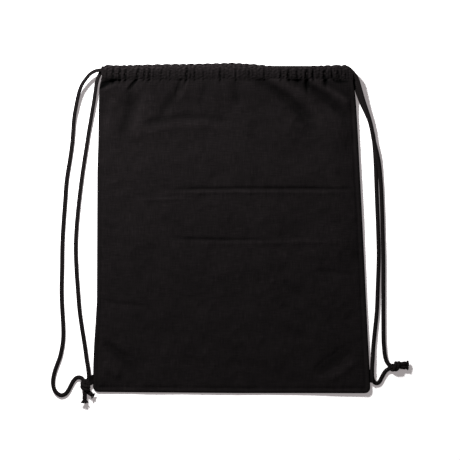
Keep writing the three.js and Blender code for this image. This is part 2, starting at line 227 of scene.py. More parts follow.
def cloth_material(name, dark, light):
    """Plain-weave cotton: crossing yarns, slubs along both directions, soft mottling, a little fuzz, and
    painted shade.
    """
    n = Nodes(name)
    across, along = n.split(n.uv(THREADS, THREADS))
    warp = n.math("SINE", n.math("MULTIPLY", across, math.tau))
    weft = n.math("SINE", n.math("MULTIPLY", along, math.tau))
    checks = n.math("MULTIPLY", warp, weft)
    slub_weft = n.noise(n.uv(SLUBS_ALONG, SLUBS_ACROSS), 1.0, 3)
    slub_warp = n.noise(n.uv(SLUBS_ACROSS, SLUBS_ALONG), 1.0, 3)
    mottle = n.noise(n.uv(1, 1), MOTTLE_SCALE, 5, 0.6)
    broad = n.noise(n.uv(1, 1), BROAD_MOTTLE_SCALE, 3, 0.5)
    yarns = n.total(0, (slub_weft, 0.5), (slub_warp, 0.5))
    painted_shade = n.tree.nodes.new("ShaderNodeAttribute")
    painted_shade.attribute_name = "painted_shade"
    depth = painted_shade.outputs["Fac"]
    # painted shade: a per-point value above 0 darkens the colour towards black in creases, and one below 0
    # paints a highlight towards the pale stop
    tone = n.total(-0.15, (yarns, 1.1), (mottle, 0.1), (broad, 0.1), (checks, 0.03), (depth, -0.42))
    black = tuple(0.06 * value for value in dark)
    pale = tuple(2.2 * value for value in light)
    color = n.ramp(tone, [(0.04, black), (0.38, dark), (0.62, light), (0.9, pale)])
    n.link(color, n.shader.inputs["Base Color"])
    n.link(n.total(0.84, (mottle, 0.16)), n.shader.inputs["Roughness"])
    weave = n.bump(checks, 0.5, 0.0001)
    slubs = n.bump(yarns, 0.6, 0.0004, weave)
    n.link(n.bump(mottle, 0.1, 0.0006, slubs), n.shader.inputs["Normal"])
    set_inputs(n.shader, {
        "Specular IOR Level": 0.035, "Sheen Weight": 0.002, "Sheen Roughness": 0.6,
        "Sheen Tint": (1, 0.96, 0.97, 1),
    })
    return n.material


def cord_material(name, dark, light):
    """A braid: two families of yarns crossing in diamonds, with painted shade in the gaps between them, and
    fine fibres.
    """
    n = Nodes(name)
    around, along = n.split(n.uv(1, 1))
    turn = n.math("MULTIPLY", around, math.tau * BRAID_YARNS)
    run = n.math("MULTIPLY", along, math.tau / BRAID_PITCH)
    left_hand = n.math("SINE", n.math("ADD", run, turn))
    right_hand = n.math("SINE", n.math("SUBTRACT", run, turn))
    relief = n.total(0.5, (n.math("MULTIPLY", left_hand, right_hand), 0.5))
    fibres = n.noise(n.uv(FIBRES_AROUND, FIBRES_ALONG), 1.0, 3)
    patches = n.noise(n.uv(1, 60), 1.0, 2)
    # the braid's relief paints shade into the gaps between its yarns
    tone = n.total(0, (relief, 0.45), (fibres, 0.35), (patches, 0.2))
    n.link(n.ramp(tone, [(0.2, dark), (0.8, light)]), n.shader.inputs["Base Color"])
    n.link(n.total(0.72, (fibres, 0.2)), n.shader.inputs["Roughness"])
    strands = n.bump(relief, 0.8, 0.0005)
    n.link(n.bump(fibres, 0.4, 0.0002, strands), n.shader.inputs["Normal"])
    set_inputs(n.shader, {"Specular IOR Level": 0.08, "Sheen Weight": 0.008, "Sheen Roughness": 0.5})
    return n.material


# ---------------------------------------------------------------- mesh helpers

def make_mesh(name, points, faces, uvs, material, painted_shade=None):
    """An object from points in millimetres, faces, and a UV for each point, in metres. The last argument is
    the shade painted into each point's colour: from 0 on open cloth to about 1 in the deepest creases, below
    0 where a highlight is painted."""
    mesh = bpy.data.meshes.new(name)
    mesh.from_pydata((np.asarray(points) * MM).tolist(), [], [list(map(int, face)) for face in faces])
    layer = mesh.uv_layers.new(name="cloth")
    corners = np.empty(len(mesh.loops), np.int32)
    mesh.loops.foreach_get("vertex_index", corners)
    layer.data.foreach_set("uv", np.asarray(uvs, np.float32)[corners].ravel())
    mesh.polygons.foreach_set("use_smooth", [True] * len(mesh.polygons))
    if painted_shade is not None:
        depths = mesh.attributes.new("painted_shade", "FLOAT", "POINT")
        depths.data.foreach_set("value", np.asarray(painted_shade, np.float32))
    mesh.materials.append(material)
    mesh.update()
    thing = bpy.data.objects.new(name, mesh)
    bpy.context.collection.objects.link(thing)
    return thing


def grid_faces(rows, columns, wrap=False):
    """Faces of a grid of rows by columns, joined round its columns if wrap is set."""
    last = columns if wrap else columns - 1
    row, column = np.meshgrid(np.arange(rows - 1), np.arange(last), indexing="ij")
    following = (column + 1) % columns
    here = row * columns
    above = here + columns
    return np.stack([here + column, here + following, above + following, above + column], -1).reshape(-1, 4)


def smoothstep(value):
    value = np.clip(value, 0, 1)
    return value * value * (3 - 2 * value)


def through(points, count):
    """count points spread evenly along a centripetal Catmull-Rom curve through the points."""
    points = np.array(points, float)
    padded = np.vstack([2 * points[0] - points[1], points, 2 * points[-1] - points[-2]])
    gaps = np.linalg.norm(np.diff(padded, axis=0), axis=1)
    knots = np.concatenate([[0], np.cumsum(np.sqrt(gaps))])
    dense = []
    for i in range(1, len(padded) - 2):
        near = list(padded[i - 1:i + 3])
        k = knots[i - 1:i + 3]
        t = np.linspace(k[1], k[2], 24, endpoint=False)[:, None]
        for reach in (1, 2):
            near = [
                ((k[j + reach] - t) * near[j] + (t - k[j]) * near[j + 1]) / (k[j + reach] - k[j])
                for j in range(len(near) - 1)
            ]
        dense.append(((k[2] - t) * near[0] + (t - k[1]) * near[1]) / (k[2] - k[1]))
    dense = np.vstack([*dense, points[-1:]])
    length = np.concatenate([[0], np.cumsum(np.linalg.norm(np.diff(dense, axis=0), axis=1))])
    at = np.linspace(0, length[-1], count)
    return np.stack([np.interp(at, length, dense[:, axis]) for axis in range(3)], -1)


def curve_length(points):
    return float(np.linalg.norm(np.diff(through(points, 800), axis=0), axis=1).sum())


# A round cord end narrows to a fifth of its width over this share of its radius
ROUND_END_RUN = 0.7
ROUND_END_TIP = 0.2


def tube(name, points, radius, material, step=1.6, sides=14, radii=None, flatness=1.0, twist=(0, 0),
         ends="round"):
    """A cord along the points, in millimetres. radius is half its width, radii gives a factor along its
    length, flatness is its thickness over its width, and twist turns its flat side, in degrees."""
    count = max(8, int(curve_length(points) / step))
    line = through(points, count)
    tangent = np.gradient(line, axis=0)
    tangent /= np.linalg.norm(tangent, axis=1)[:, None]
    angles = np.linspace(0, math.tau, sides, endpoint=False)
    length = np.concatenate([[0], np.cumsum(np.linalg.norm(np.diff(line, axis=0), axis=1))])
    share = length / length[-1]
    factor = np.ones(count) if radii is None else np.interp(share, np.linspace(0, 1, len(radii)), radii)
    turn = np.radians(np.interp(share, np.linspace(0, 1, len(twist)), twist))
    side = np.cross([0.0, 0.0, 1.0], tangent[0])
    if np.linalg.norm(side) < 0.1:
        side = np.array([1.0, 0.0, 0.0])
    rings, uvs = [], []
    for i in range(count):
        level = np.cross([0.0, 0.0, 1.0], tangent[i])
        if flatness < 1 and np.linalg.norm(level) > 0.2:
            side = level
        side = side - tangent[i] * (side @ tangent[i])
        side /= np.linalg.norm(side)
        other = np.cross(tangent[i], side)
        wide = side * math.cos(turn[i]) + other * math.sin(turn[i])
        thin = other * math.cos(turn[i]) - side * math.sin(turn[i])
        reach = radius * factor[i]
        if ends == "round":
            from_end = min(1.0, min(length[i], length[-1] - length[i]) / (radius * ROUND_END_RUN))
            reach *= math.sqrt(max(0.0, 1 - (1 - from_end) ** 2)) * (1 - ROUND_END_TIP) + ROUND_END_TIP
        section = np.outer(np.cos(angles), wide) + np.outer(np.sin(angles) * flatness, thin)
        rings.append(line[i] + reach * section)
        uvs.append(np.stack([angles / math.tau, np.full(sides, length[i] * MM)], -1))
    faces = [list(face) for face in grid_faces(count, sides, wrap=True)]
    faces.append(list(range(sides))[::-1])
    faces.append([(count - 1) * sides + i for i in range(sides)])
    return make_mesh(name, np.vstack(rings), faces, np.vstack(uvs), material)


# ---------------------------------------------------------------- cords

EXIT_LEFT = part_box("left_cord_back_run")[0][0] / MM
EXIT_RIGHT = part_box("right_cord_back_run")[1][0] / MM
UPPER_LANE = sum(corner[1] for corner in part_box("right_cord_back_run")) / 2 / MM
LOWER_LANE = sum(corner[1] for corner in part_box("left_cord_back_run")) / 2 / MM
BACK_EXIT_Z = CASING_DEPTH / 2
FRONT_EXIT_Z = CASING_END_Z
REST_Z = CORD_HALF_THICKNESS + 0.1
TAB_HOLE_Z = 3.6
# How each strand's flat side is turned, in degrees: on edge over the casing's corner, then flat on the floor
OUTER_TWIST = (35, 30, 10, 0, 0, 0, 0, 0, 0, 0)
LEFT_INNER_TWIST = (30, 0)
RIGHT_INNER_TWIST = (40, 0, 0, 0)


def way(*points):
    """A strand's points from the casing to its knot. Those without a height lie on the floor."""
    return [(*point, REST_Z)[:3] for point in points]


LEFT_OUTER_ROUTE = way(
    (EXIT_LEFT + 3, UPPER_LANE - 2, FRONT_EXIT_Z), (EXIT_LEFT - 1, UPPER_LANE - 2.4, FRONT_EXIT_Z + 0.3),
    (-185.9, 214.9, 12.4), (-192.7, 211.3, 12), (-198.4, 205.3, 11.2), (-204, 197.5, 10.2), (-208, 189, 9),
    (-210.8, 178.8, 7.6), (-213.2, 167.5, 6.2), (-215.4, 156.4, 4.8), (-216.8, 145, 3.4),
    (-218.8, 118, 2.4), (-221.7, 96), (-226.4, 66), (-228.7, 36), (-231.1, 3), (-232.4, -22), (-232.9, -55),
    (-233.5, -88), (-232.5, -114), (-231.3, -134), (-231.3, -152), (-232.8, -164), (-235.6, -176.8),
    (-239.2, -186.8), (-242.5, -196), (-244.7, -205), (-245.3, -213.5), (-243.7, -221.2), (-239.8, -227),
    (-233.9, -230), (-228.2, -228), (-224, -222.8), (-220.4, -215.8), (-216.7, -209.4), (-212.6, -205.8),
    (-207.9, -205.4, 2.6), (-204.4, -207.6, 3.8), (-202.2, -211.2, 5), (-201.4, -215.5, 5.6),
)
LEFT_INNER_ROUTE = way(
    (EXIT_LEFT + 1.6, LOWER_LANE + 5, 7.5), (EXIT_LEFT - 1.4, LOWER_LANE + 2.4, 7.5), (-183, 206, 7.2),
    (-185.2, 198.6, 6.6), (-186.3, 191.8, 6.2), (-187.4, 184, 5.6), (-188.7, 175, 5), (-190.2, 166.4, 4.4),
    (-192.2, 155.1, 3.6), (-193.8, 145.4, 3), (-196.2, 132, 2.4), (-200, 107), (-204.2, 80), (-208, 51),
    (-211, 24), (-213.2, -2), (-214.1, -28), (-213.2, -56), (-211.4, -82), (-209, -112), (-206.2, -133),
    (-203, -153), (-200.4, -170, 2.4), (-199.1, -180, 3), (-197.6, -188.5, TAB_HOLE_Z),
    (-196.4, -197, TAB_HOLE_Z), (-195.9, -204, TAB_HOLE_Z), (-196.4, -209, 4.2), (-198, -214, 5),
    (-199.4, -218, 5.6),
)
RIGHT_OUTER_ROUTE = way(
    (EXIT_RIGHT - 5, UPPER_LANE + 1, 11.8), (EXIT_RIGHT - 1.5, UPPER_LANE + 0.4, 12.4),
    (163.4, 215.3, 12.8), (167.6, 210.8, 12.8), (172, 203.6, 12.2), (174.5, 195.8, 11.4),
    (177.2, 186.4, 10.4), (179.9, 177.1, 9.4), (183, 167.6, 8.4), (185.5, 160, 7.7), (189, 149.2, 7.1),
    (192.1, 136.7, 6.5), (194.9, 121.2, 5.9), (198, 109, 5.4), (200.4, 99, 4.7), (202.6, 88, 3.3),
    (205.3, 60, 2.2), (206.8, 28), (207.7, -5), (208.5, -42), (208.6, -80), (208.6, -125), (209, -156.2),
    (209.8, -167), (210.9, -176), (213, -183, 2.4), (216.4, -187.8, 3.8), (221, -190, 5.4),
)
RIGHT_INNER_ROUTE = way(
    (EXIT_RIGHT - 1, UPPER_LANE - 3.6, 7), (EXIT_RIGHT + 2.6, LOWER_LANE + 3, 7.4), (166.2, 209.6, 7.9),
    (168.9, 203.8, 8.1), (170.3, 196.6, 7.8), (172.4, 186.9, 7.1), (175.4, 178.6, 6), (179, 169.8, 4.8),
    (183.2, 161.1, 3.8), (187.2, 152.6, 3.1), (190.2, 144.9, 2.6), (192.6, 135.5, 2.2), (194.9, 125.3),
    (196.4, 112), (197.4, 99), (198.3, 80), (199.2, 55), (200.4, 24), (201.5, -6), (202.2, -40), (201, -80),
    (199.6, -115), (196.8, -143), (194.7, -164, 2.4), (193.9, -179.3, 3), (193.2, -188.5, TAB_HOLE_Z),
    (193, -198, TAB_HOLE_Z), (193.3, -205, 3.4), (194.6, -209.4, 3), (197.4, -212.8, 2.4), (200.8, -213.2),
    (203.6, -210.6), (206.3, -205.6), (209.3, -200, 2.2), (212.8, -195.6, 2.4), (217, -193, 3.4),
    (221, -191.6, 4.6),
)


# Knots: how far the wraps reach to each side and up, how long they run, and how they tilt
WRAP_SIDE, WRAP_UP = 4.9, 2.9
WRAP_START, WRAP_RUN = -6.6, 12.2
WRAP_TILT = 1.5
WRAP_STEPS = 30
# Each cord's place along the knot, from its middle
KNOT_OFFSETS = (-2.0, 2.0)


def knot_piece(name, centre, forward, material, node, body):
    """Two cords tied together in an overhand knot: both run through it, and both wrap round it side by side.
    forward is the way its tails leave it."""
    along = np.array([*forward, 0.0])
    along /= np.linalg.norm(along)
    up = np.array([0.0, 0.0, 1.0])
    across = np.cross(along, up)

    def place(x, y, z):
        return np.array(centre) + across * x + along * y + up * z

    pieces = []
    for number, offset in enumerate(KNOT_OFFSETS):
        wrap = []
        for share in np.linspace(0, 1, WRAP_STEPS):
            angle = math.radians(-150 + 460 * share)
            tuck = 1 - 0.5 * (smoothstep((share - 0.84) / 0.16) + smoothstep((0.16 - share) / 0.16))
            wrap.append(place(
                WRAP_SIDE * tuck * math.cos(angle),
                offset + WRAP_START + WRAP_RUN * share + WRAP_TILT * math.sin(angle),
                WRAP_UP * tuck * math.sin(angle),
            ))
        pieces.append(tube(f"{name}_wrap_{number}", wrap, 2.5, material, step=0.7, sides=12, flatness=0.8))
        core = [place(offset * 0.7, y, 0.4 * offset) for y in (-7.5, -3, 2, 7.5)]
        pieces.append(tube(f"{name}_core_{number}", core, 2.1, material, step=0.8, sides=12))
    return join(name, pieces, node, body)


def join(name, pieces, node, body):
    """One object from several, riding a body and standing for a CAD node."""
    first = pieces[0]
    with bpy.context.temp_override(active_object=first, selected_editable_objects=pieces):
        bpy.ops.object.join()
    first.name = name
    first.data.name = name
    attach(first, body)
    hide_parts(node)
    return first


TAIL_YARNS = 60


def tail_piece(name, start, end, material, node, body, spread):
    """A cut cord end: the braid, and its yarns spread loose at the tip."""
    start, end = np.array(start, float), np.array(end, float)
    along = end - start
    length = np.linalg.norm(along)
    along /= length
    across = np.cross(along, [0.0, 0.0, 1.0])
    across /= np.linalg.norm(across)
    up = np.cross(across, along)
    braid = [start + along * length * share for share in (0, 0.35, 0.72)]
    pieces = [tube(f"{name}_braid", braid, 3.1, material, step=0.8, radii=[0.9, 1, 1, 1.15], flatness=0.7)]
    for i in range(TAIL_YARNS):
        angle = RANDOM.uniform(0, math.tau)
        out = math.sqrt(RANDOM.uniform(0.02, 1.0))
        reach = length * RANDOM.uniform(0.93, 1.03)
        outward = across * math.cos(angle) * out + up * math.sin(angle) * out * 0.5
        root = start + along * length * 0.56 + outward * 1.5
        middle = start + along * length * 0.78 + outward * (1.7 + 0.22 * spread)
        tip = start + along * (reach - 0.8 * out) + outward * spread
        radius = RANDOM.uniform(0.5, 0.75)
        pieces.append(tube(f"{name}_yarn_{i}", [root, middle, tip], radius, material, step=1.5, sides=6,
                           radii=[1, 1, 0.7]))
    return join(name, pieces, node, body)


def strand(name, route, nodes, material, twist):
    """One free stretch of cord from the casing's end to its knot."""
    piece = tube(name, route, CORD_HALF_WIDTH, material, twist=twist,
                 flatness=CORD_HALF_THICKNESS / CORD_HALF_WIDTH)
    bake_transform(piece)
    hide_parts(*nodes)
    path = through(route, 160) * MM


# The power of the curve that the mouth arches in
MOUTH_FLATNESS = 4


def front_lift(x):
    """Middle height of the front casing."""
    share = np.clip(np.abs(np.asarray(x, float) - CASING_MID_X) / CASING_HALF, 0, 1)
    return CASING_END_Z + CASING_RISE * (1 - share ** MOUTH_FLATNESS)


# How far a cord's turn reaches past the casing's end, and its gap to it
BIGHT_REACH = 4.2
BIGHT_GAP = 0.3
# Knots: side, middle and the way the tails leave them
KNOTS = (("left", (-200.3, -218.2, 5.3), (-0.02, -1)), ("right", (225.6, -189.6, 5.1), (1, 0.05)))
# Cut ends: name, start, end and how far the yarns spread
TAILS = (
    ("left_tail_a", (-201.2, -223, 6), (-201.6, -241, 6), 6.0),
    ("left_tail_b", (-198.4, -224, 5), (-188.2, -231.2, 4.6), 5.0),
    ("right_tail_a", (230, -187.2, 5.4), (243.9, -185.4, 5.2), 4.4),
    ("right_tail_b", (230, -190.6, 4.8), (243.6, -191.4, 4.6), 4.4),
)


def add_cords(cord):
    """Both cords: their knots, cut ends and strands."""
    knots = {
        side: knot_piece(f"{side}_knot_tied", centre, forward, cord, f"{side}_knot", f"{side}_cord_end")
        for side, centre, forward in KNOTS
    }
    tails = {
        name: tail_piece(f"{name}_frayed", start, end, cord, name, f"{name.split('_')[0]}_cord_end", spread)
        for name, start, end, spread in TAILS
    }
    for side, outer_route, inner_route, lower_node, inner_twist in (
        ("left", LEFT_OUTER_ROUTE, LEFT_INNER_ROUTE, "left_lower_loop", LEFT_INNER_TWIST),
        ("right", RIGHT_OUTER_ROUTE, RIGHT_INNER_ROUTE, "right_lower_strand", RIGHT_INNER_TWIST),
    ):
        strand(f"{side}_outer_cord", outer_route, [f"{side}_outer_strand", lower_node], cord,
               OUTER_TWIST)
        strand(f"{side}_inner_cord", inner_route, [f"{side}_inner_strand", f"{side}_tab_cord"], cord,
               inner_twist)


def add_casing_runs(cord):
    """The stretches of both cords inside the casings, and the turns where each goes back."""
    for name, y, left, right in (
        ("left_cord", UPPER_LANE, EXIT_LEFT, CASING_HIGH[0]),
        ("right_cord", LOWER_LANE, CASING_LOW[0], EXIT_RIGHT),
    ):
        for side, low, high in (("a", left, 0), ("b", 0, right)):
            x = np.linspace(low, high, 16)
            route = np.stack([x, np.full(16, y), front_lift(x)], -1)
            run = tube(f"{name}_front_{side}", route, CORD_HALF_WIDTH, cord, step=3, ends="flat")
            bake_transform(run)
            if side == "a":
                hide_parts(f"{name}_front_run")
    for name, x, outward, front_y, back_y in (
        ("left_cord_bight", CASING_HIGH[0], 1, UPPER_LANE, LOWER_LANE),
        ("right_cord_bight", CASING_LOW[0], -1, LOWER_LANE, UPPER_LANE),
    ):
        angle = np.linspace(0, math.pi, 9)
        share = (1 - np.cos(angle)) / 2
        route = np.stack([
            x + outward * (BIGHT_REACH * np.sin(angle) + BIGHT_GAP),
            front_y + (back_y - front_y) * share,
            FRONT_EXIT_Z + (BACK_EXIT_Z - FRONT_EXIT_Z) * share,
        ], -1)
        turn = tube(f"{name}_turn", route, CORD_HALF_WIDTH, cord, step=1)
        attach(turn, "bag")
        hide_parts(name)
    for node in ("left_cord_back_run", "right_cord_back_run"):
        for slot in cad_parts[node].material_slots:
            slot.material = cord


# ---------------------------------------------------------------- cloth

# The bag's sides, from the bottom to the mouth: y and x
LEFT_EDGE = [
    (-225, -190.1), (-190, -189.7), (-160, -188.5), (-130, -186.5), (-100, -184.7), (80, -184.1),
    (115, -182.9), (165, -182.3), (192, -181.2), (199, -180), (207, -177.2), (213, -178.4), (218, -177.6),
    (226, -172),
]
RIGHT_EDGE = [
    (-225, 190.3), (-200, 189.7), (-154, 187.1), (-99, 184.4), (-37, 181.6), (18, 178.8), (73, 175.9),
    (128, 173.1), (172, 170.5), (190, 168.7), (203, 166.7), (212, 165.9), (219, 161.8), (226, 155.3),
]


def edge_at(edge, y):
    ys, xs = zip(*edge)
    return np.interp(y, ys, xs)


def side_distance(x, y):
    """Distance in from the nearer side of the bag."""
    return np.minimum(x - edge_at(LEFT_EDGE, y), edge_at(RIGHT_EDGE, y) - x)


def corner_inset(y):
    """How far the rounded bottom corners pull the sides in."""
    below = np.clip(CORNER_RADIUS - (y - BOTTOM_Y), 0, CORNER_RADIUS)
    return CORNER_RADIUS - np.sqrt(CORNER_RADIUS ** 2 - below ** 2)


def edge_distance(x, y):
    """Distance in from the bag's sewn outline: both sides, the bottom and its rounded corners."""
    side = side_distance(x, y)
    bottom = y - BOTTOM_Y
    near = (side < CORNER_RADIUS) & (bottom < CORNER_RADIUS)
    corner = CORNER_RADIUS - np.hypot(CORNER_RADIUS - side, CORNER_RADIUS - bottom)
    return np.maximum(0, np.where(near, corner, np.minimum(side, bottom)))


# The noise field's size in millimetres, one value for each, and how wide a band of wavelengths it holds
NOISE_ACROSS, NOISE_ALONG = 512, 640
NOISE_BAND = 0.35


def crinkle(wavelength, seed, stretch=1.0):
    """Smooth noise of about one wavelength over the bag, with a spread of 1. A stretch below 1 draws it out
    across the bag. It returns a function of x and y."""
    white = np.random.default_rng(seed).standard_normal((NOISE_ALONG, NOISE_ACROSS))
    across, along = np.fft.fftfreq(NOISE_ACROSS)[None, :], np.fft.fftfreq(NOISE_ALONG)[:, None]
    number = np.hypot(across, along * stretch) * wavelength
    number[0, 0] = 1e-6
    band = np.exp(-0.5 * (np.log(number) / NOISE_BAND) ** 2)
    field = np.fft.ifft2(np.fft.fft2(white) * band).real
    field /= field.std()

    def sample(x, y):
        column, row = np.asarray(x) + NOISE_ACROSS / 2, np.asarray(y) + NOISE_ALONG / 2
        i, j = np.floor(row).astype(int), np.floor(column).astype(int)
        v, u = row - i, column - j
        return ((1 - v) * ((1 - u) * field[i, j] + u * field[i, j + 1])
                + v * ((1 - u) * field[i + 1, j] + u * field[i + 1, j + 1]))

    return sample


# Crumpling of the cloth, from the broadest waves to the finest
BROAD = crinkle(80, 3)
CREASED = crinkle(42, 21)
MIDDLE = crinkle(30, 5)
SMALL = crinkle(13, 8)
FINE = crinkle(6, 13, 0.6)
CASING_CRINKLE = crinkle(7, 34, 0.5)


def fold(x, y, start, end, height, width, bend):
    """A ridge (or, with a negative height, a valley) from start to end that fades at both ends."""
    start, end = np.array(start, float), np.array(end, float)
    along = end - start
    length = np.linalg.norm(along)
    along /= length
    across = np.array([-along[1], along[0]])
    run = (x - start[0]) * along[0] + (y - start[1]) * along[1]
    share = run / length
    bowed = bend * np.sin(np.clip(share, 0, 1) * math.pi)
    off = (x - start[0]) * across[0] + (y - start[1]) * across[1] - bowed
    fade = smoothstep(share / 0.2) * smoothstep((1 - share) / 0.35)
    return height * np.exp(-(off / width) ** 2) * fade


# Folds in the front panel: start, end, height (negative for a valley), width and how far the middle bows
PANEL_FOLDS = [
    ((-184, 189), (-146, 204), -3.4, 2.4, 2), ((-182, 197), (-150, 206), -2.6, 1.8, -1),
    ((-178, 185), (-150, 196), 1.2, 4, 2), ((-128, 208), (-144, 184), -1.5, 1.9, 0),
    ((-118, 206), (-138, 168), 1.0, 4.5, 0), ((-132, 192), (-158, 108), -2.2, 9, 3),
    ((-112, 190), (-142, 112), 1.8, 11, 3), ((-160, 180), (-176, 120), 1.0, 7, 0),
    ((-66, 208), (-78, 174), -1.7, 2.8, -1), ((-58, 204), (-70, 172), 0.9, 4, 0),
    ((-76, 186), (-106, 136), -1.3, 7, 0), ((24, 208), (122, 126), -3.2, 7, 9),
    ((42, 208), (138, 136), 2.2, 7, 9), ((72, 206), (170, 138), -3.2, 6, 9),
    ((94, 206), (176, 154), 2.0, 6, 7), ((118, 200), (178, 166), -2.2, 4, 4),
    ((103, 208), (104.5, 180), -1.8, 2.2, 0), ((128, 206), (130, 190), -1.4, 2.4, 0),
    ((140, 203), (172, 180), -1.5, 4, 0), ((4, 206), (10, 160), -0.9, 5, 0),
    ((-8, 202), (-6, 156), 0.8, 6, 0), ((-34, 204), (-44, 160), -0.7, 5, 0),
    ((-100, 52), (182, 53.5), -0.9, 2.4, 1.5), ((-95, 47.5), (180, 49), 0.7, 3, 1.5),
    ((20, 52), (184, 53.5), -0.7, 2.4, -1), ((-132, 38), (-56, 40), 0.6, 2.6, 0),
    ((-86, -14), (70, -16), -0.9, 3, -2), ((-40, -19), (180, -19.5), 0.6, 3.6, 0),
    ((-138, 138), (30, 140), -1.1, 6, 12), ((-134, 127), (24, 131), 0.8, 7, 12),
    ((112, -202), (172, -156), -1.9, 7, 0), ((132, -210), (180, -176), 1.0, 6, 0),
    ((-178, -158), (-124, -198), -1.6, 7, 0), ((-176, -182), (-150, -208), 0.9, 7, 0),
    ((-80, 53), (188, 53.5), -0.4, 1.8, 0), ((-86, -15), (96, -17), -0.25, 2.2, -1),
    ((-188, -100), (-116, -108), -0.6, 3.4, 0), ((106, -58), (184, -66), -0.7, 4, 0),
]


def fold_relief(x, y):
    """The front panel's folds and storage creases."""
    return sum(fold(x, y, *one) for one in PANEL_FOLDS)


def panel_relief(x, y):
    """Folds, storage creases and a little crumpling of the front panel."""
    z = 0.7 * BROAD(x, y) + 0.12 * MIDDLE(x, y) + 0.035 * SMALL(x, y) + 0.012 * FINE(x, y)
    return z - 0.25 * np.abs(CREASED(x, y)) + 1.5 * fold_relief(x, y)


# Gathers along the casing: place, depth, lean below the stitching and reach below it
MAIN_GATHERS = [
    (-162, 2.6, -0.15, 6), (-152.5, 2.7, -0.2, 5), (-144.5, 2.2, -0.3, 4), (-129, 2.6, -0.75, 11),
    (-119.5, 2.0, -0.4, 3), (-112, 2.1, -0.3, 3), (-96, 1.2, -0.3, 3), (-84, 0.9, -0.3, 3),
    (-61.5, 2.3, -0.35, 7), (-50, 1.3, 0, 3), (-38, 0.9, 0, 3), (-15.5, 2.0, 0, 4), (6, 1.5, 0.1, 4),
    (25, 1.0, 0.1, 3), (45, 1.1, 0.2, 3), (67.5, 1.8, 0.1, 3), (78.5, 2.5, 0.2, 3), (90, 2.1, 0.2, 3),
    (103, 3.2, 0.0, 8), (112, 1.9, 0.3, 3), (128, 3.2, 0.4, 4), (139, 1.6, 0.9, 3), (148, 1.8, 0.7, 3),
]


def all_gathers():
    """The main gathers and small ones between them, deeper towards the casing's ends. Each also has its width
    and how far up the casing its middle is."""
    random = np.random.default_rng(11)
    gathers = [(*gather, 0.75 + 0.28 * gather[1], 0.34) for gather in MAIN_GATHERS]
    x = -174.0
    while x < 162:
        end_share = min(1.0, abs(x - CASING_MID_X) / CASING_HALF)
        depth = random.uniform(0.15, 0.7) * (0.6 + 0.9 * end_share ** 2)
        lean, reach = random.uniform(-0.3, 0.3), random.uniform(1, 4)
        gathers.append((x, depth, lean, reach, 0.9, random.uniform(0.2, 0.9)))
        x += random.uniform(3.0, 6.5)
    return gathers


GATHERS = all_gathers()


def gather_relief(x, y):
    """How far the gathers push the cloth in or out, in the casing and just below it."""
    total = np.zeros(np.broadcast(x, y).shape)
    below = np.maximum(0, STITCH_Y - y)
    above = np.maximum(0, y - STITCH_Y) / (TOP_Y - STITCH_Y)
    for place, depth, lean, reach, width, middle in GATHERS:
        off = x - place - lean * (below - 5 * above)
        wide = width * (1 + 0.08 * below)
        fade = np.where(below > 0, np.exp(-(below / reach) ** 1.5), 0.75 + 0.25 * above / middle)
        fade = np.where(above > middle, np.exp(-((above - middle) / 0.3) ** 2), fade)
        valley = -np.exp(-np.abs(off / wide) ** 1.6)
        shoulder = 0.4 * np.exp(-((np.abs(off) - 2.3 * wide) / (1.2 * wide)) ** 2)
        total = total + depth * fade * (valley + shoulder)
    return total


# Painted shadows by the casing's ends: dark strokes where deep creases lie in shade, painted into the colour
# with no relief of their own. Each has middle x and y, slope, half length, half width, bow and depth
PAINTED_CORNER_SHADOWS = (
    (-169, 199.6, 0.30, 10, 2.0, 0.006, 1.3), (-168, 203.8, 0.2, 7, 1.2, 0, 1.0),
    (-175, 194.5, 0.55, 6, 2.0, 0, 1.2), (150, 200.5, -0.05, 10, 2.2, 0.01, 1.1),
    (128.5, 202, 0, 3.2, 3.4, 0, 1.0), (104, 198, 0, 3.0, 6.0, 0, 0.9),
)


# How dark the painted corner shadows make each point.
def painted_corner_shadow(x, y):
    total = 0
    for middle_x, middle_y, slope, length, width, bow, depth in PAINTED_CORNER_SHADOWS:
        along = x - middle_x
        across = y - middle_y - slope * along - bow * along ** 2
        total = total + depth * np.exp(-(along / length) ** 4) * np.exp(-(across / width) ** 2)
    return total


def painted_crease_shade(x, y):
    """Shade painted into the cloth's colour at each point: 0 on open cloth, about 1 in the deepest gathers
    and folds, and less than 0 where a highlight is painted on ridges and along the casing's upper fold over
    its cords."""
    # painted shade in the gathers' valleys, and a painted highlight on their shoulders
    gathers = np.clip((-gather_relief(x, y) - 0.25) / 1.3, -0.3, 1)
    # painted shade in the folds' valleys and a painted highlight on their ridges, with a little random
    # mottling
    folds = np.clip(-0.2 * fold_relief(x, y), -0.25, 0.5) + 0.03 * MIDDLE(x, y) + 0.02 * SMALL(x, y)
    above = np.maximum(0, y - STITCH_Y) / (TOP_Y - STITCH_Y)
    # a painted highlight along the upper part of the casing, where it rounds over the cords; rumpled is
    # random tone
    painted_top_highlight = smoothstep((above - 0.45) / 0.3) * (0.42 + 0.3 * CASING_CRINKLE(x, y))
    rumpled = 0.14 * CASING_CRINKLE(x, y) * (above > 0)
    deep = np.clip(np.maximum(gathers, 0) + painted_corner_shadow(x, y), 0, 1.1)
    return deep + 0.5 * np.minimum(gathers, 0) + folds - painted_top_highlight - rumpled


def seam_relief(distance):
    """The folded seam allowance inside: a low raised band along the sewn edges, and the dip behind it."""
    band = 0.35 * np.exp(-((distance - 2.6) / 1.7) ** 2)
    dip = -0.7 * np.exp(-((distance - 6.4) / 1.9) ** 2)
    return band + dip


